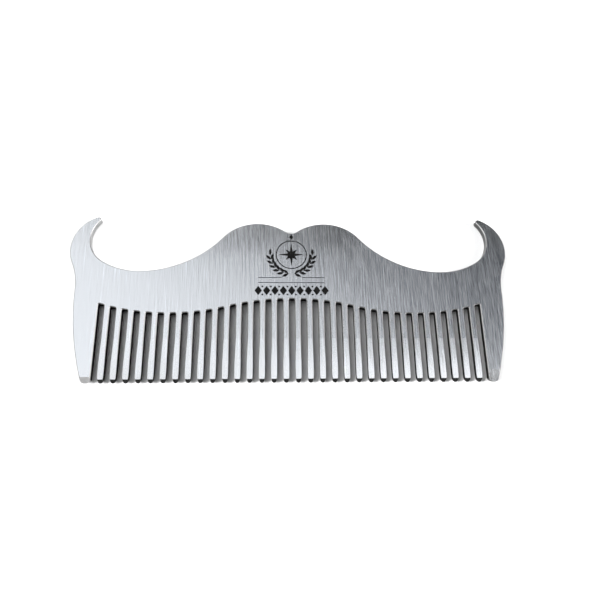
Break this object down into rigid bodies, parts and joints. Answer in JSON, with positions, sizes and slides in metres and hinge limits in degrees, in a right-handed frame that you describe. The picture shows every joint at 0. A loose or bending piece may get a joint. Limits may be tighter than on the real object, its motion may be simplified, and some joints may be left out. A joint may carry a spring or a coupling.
{
  "type": "beard comb",
  "caption": "Flat pocket beard comb cut from one stainless steel plate, with a moustache-shaped upper edge, curled ends and straight fine teeth.",
  "frame": {"origin": "middle of the footprint, on the back face, which is taken as the face that the comb lies on", "axes": "+X along the comb, to the right when the front face is seen with its teeth towards the viewer; +Y from the tooth tips to the moustache edge; +Z out of the front face"},
  "size_m": [0.1148, 0.0446, 0.002],
  "materials": {
    "brushed_steel": "satin, brushed along the teeth, edges lightly broken"
  },
  "bodies": {
    "root": {"comb": "brushed_steel"}
  },
  "joints": []
}
